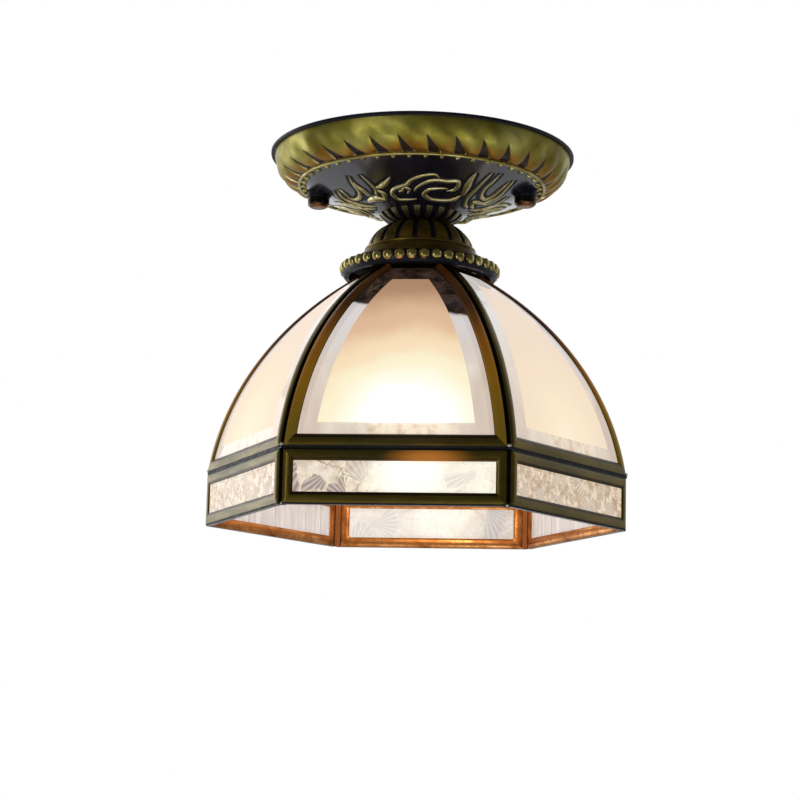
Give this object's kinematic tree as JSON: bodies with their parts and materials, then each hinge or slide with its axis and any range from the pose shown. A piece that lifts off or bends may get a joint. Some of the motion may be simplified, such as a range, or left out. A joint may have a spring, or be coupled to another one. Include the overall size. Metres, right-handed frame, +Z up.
{
  "type": "semi flush mount ceiling light",
  "caption": "Semi flush ceiling light with a stamped round canopy, fluted cap and a hexagonal dome shade of bent frosted glass in brass channel over an upright glass skirt.",
  "frame": {"origin": "centre of the canopy's rim, in the plane of the ceiling", "axes": "+Z up into the ceiling along the stem, X along the mounting bar, one shade panel faces -Y"},
  "size_m": [0.2178, 0.1906, 0.202],
  "materials": {
    "canopy_metal": "antiqued brass, blackened in the recesses of the relief",
    "cap_metal": "antiqued brass, dark olive",
    "cap_nut_metal": "bronzed brass, satin",
    "frame_metal": "antiqued brass channel, dark olive, satin",
    "frosted_glass": "frosted centre with a clear bevelled border",
    "chipped_glass": "clear with a feathery glue-chip texture",
    "dark_solder": "blackened solder",
    "plated_steel": "zinc plated",
    "stem_brass": "plain satin brass",
    "holder_plastic": "moulded black insulator",
    "contact_brass": "bright brass",
    "lamp_glass": "frosted globe",
    "lamp_metal": "rolled sleeve, satin",
    "lamp_solder": "solder tip"
  },
  "bodies": {
    "fixture": {"canopy": "canopy_metal", "mounting_bar": "plated_steel", "canopy_studs": "plated_steel", "stud_nuts": "plated_steel", "earth_screw": "plated_steel", "stem_tube": "plated_steel", "canopy_washer": "plated_steel", "canopy_lock_nut": "plated_steel", "shade_cap": "cap_metal", "stem_spacer": "stem_brass", "crown_pan": "stem_brass", "shade_washer": "plated_steel", "shade_lock_nut": "plated_steel", "dome_corner_seams": "dark_solder", "skirt_corner_seams": "dark_solder", "waist_seam": "dark_solder", "lampholder_cap": "stem_brass", "lampholder_body": "holder_plastic", "lampholder_screw_shell": "contact_brass", "lampholder_contact": "contact_brass", "lampholder_terminals": "contact_brass", "dome_frame_1": "frame_metal", "dome_frame_2": "frame_metal", "dome_frame_3": "frame_metal", "dome_frame_4": "frame_metal", "dome_frame_5": "frame_metal", "dome_frame_6": "frame_metal", "dome_pane_1": "frosted_glass", "dome_pane_2": "frosted_glass", "dome_pane_3": "frosted_glass", "dome_pane_4": "frosted_glass", "dome_pane_5": "frosted_glass", "dome_pane_6": "frosted_glass", "skirt_frame_1": "frame_metal", "skirt_frame_2": "frame_metal", "skirt_frame_3": "frame_metal", "skirt_frame_4": "frame_metal", "skirt_frame_5": "frame_metal", "skirt_frame_6": "frame_metal", "skirt_pane_1": "chipped_glass", "skirt_pane_2": "chipped_glass", "skirt_pane_3": "chipped_glass", "skirt_pane_4": "chipped_glass", "skirt_pane_5": "chipped_glass", "skirt_pane_6": "chipped_glass"},
    "cap_nut_left": {"cap_nut_left": "cap_nut_metal"},
    "cap_nut_right": {"cap_nut_right": "cap_nut_metal"},
    "lamp_carrier": {"lamp_tip": "lamp_solder"},
    "lamp": {"lamp_globe": "lamp_glass", "lamp_base": "lamp_metal"}
  },
  "joints": [
    {"name": "lamp_lead", "type": "slide", "parent": "fixture", "child": "lamp_carrier", "axis": [0, 0, -1], "range_m": [0, 0.0255]},
    {"name": "lamp_turn", "type": "hinge", "parent": "lamp_carrier", "child": "lamp", "pos_m": [0, 0, -0.1095], "axis": [0, 0, -1], "range_deg": [0, 2520]},
    {"name": "cap_nut_left_turn", "type": "hinge", "parent": "fixture", "child": "cap_nut_left", "pos_m": [-0.0549, 0, -0.02523], "axis": [0, 0, -1], "range_deg": [0, 1900]},
    {"name": "cap_nut_right_turn", "type": "hinge", "parent": "fixture", "child": "cap_nut_right", "pos_m": [0.0549, 0, -0.02523], "axis": [0, 0, -1], "range_deg": [0, 1900]}
  ],
  "couplings": [
    {"joint": "lamp_lead", "follows": "lamp_turn", "m_per_rad": 0.00057757}
  ]
}
